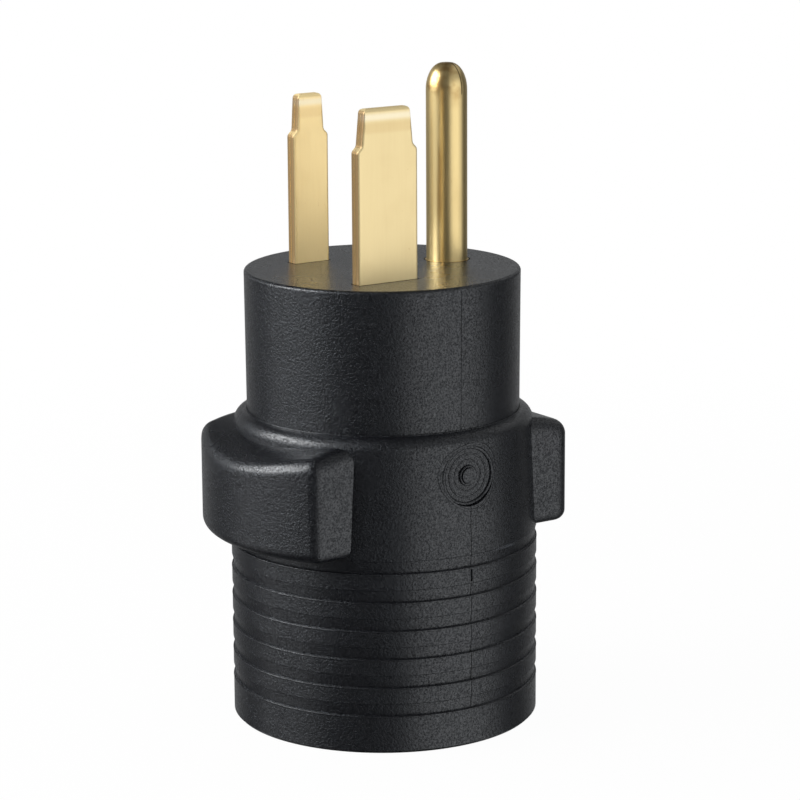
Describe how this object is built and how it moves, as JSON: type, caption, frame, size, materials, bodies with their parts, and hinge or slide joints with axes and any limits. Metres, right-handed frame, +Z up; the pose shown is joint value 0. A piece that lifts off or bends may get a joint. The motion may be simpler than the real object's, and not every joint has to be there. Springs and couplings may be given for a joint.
{
  "type": "plug adapter",
  "caption": "Round black plug adapter with ringed grip and finger wings: flat brass blades and a round earth pin on top, an earthed socket underneath.",
  "frame": {"origin": "centre of the rim it stands on, at the socket end", "axes": "+Z up out of the prong face, +Y from the blades towards the earth pin, +X square to the blades towards the wide one"},
  "size_m": [0.0474, 0.0562, 0.1004],
  "materials": {
    "grip_vinyl": "fine matte grain, moulded",
    "nose_plastic": "satin, moulded",
    "inner_plastic": "plain moulded",
    "prong_brass": "rolled, pale and slightly brushed",
    "pin_brass": "turned, smooth",
    "contact_brass": "rolled",
    "steel": "zinc plated",
    "copper": "bare copper",
    "white_jacket": "plain",
    "black_jacket": "plain",
    "green_jacket": "plain",
    "sleeve_plastic": "plain"
  },
  "bodies": {
    "root": {"grip_body": "grip_vinyl", "plug_nose": "nose_plastic", "socket_insert": "nose_plastic", "prong_bridge": "inner_plastic", "contact_retainer": "inner_plastic", "wide_blade": "prong_brass", "narrow_blade": "prong_brass", "ground_pin": "pin_brass", "wide_contact": "contact_brass", "narrow_contact": "contact_brass", "earth_contact": "contact_brass", "earth_spring": "steel", "bridge_screws": "steel", "retainer_screws": "steel", "wide_lead": "copper", "narrow_lead": "copper", "earth_lead": "copper", "wide_jacket": "white_jacket", "narrow_jacket": "black_jacket", "earth_jacket": "green_jacket", "wide_sleeve": "sleeve_plastic", "narrow_sleeve": "sleeve_plastic", "earth_sleeve": "sleeve_plastic"}
  },
  "joints": []
}
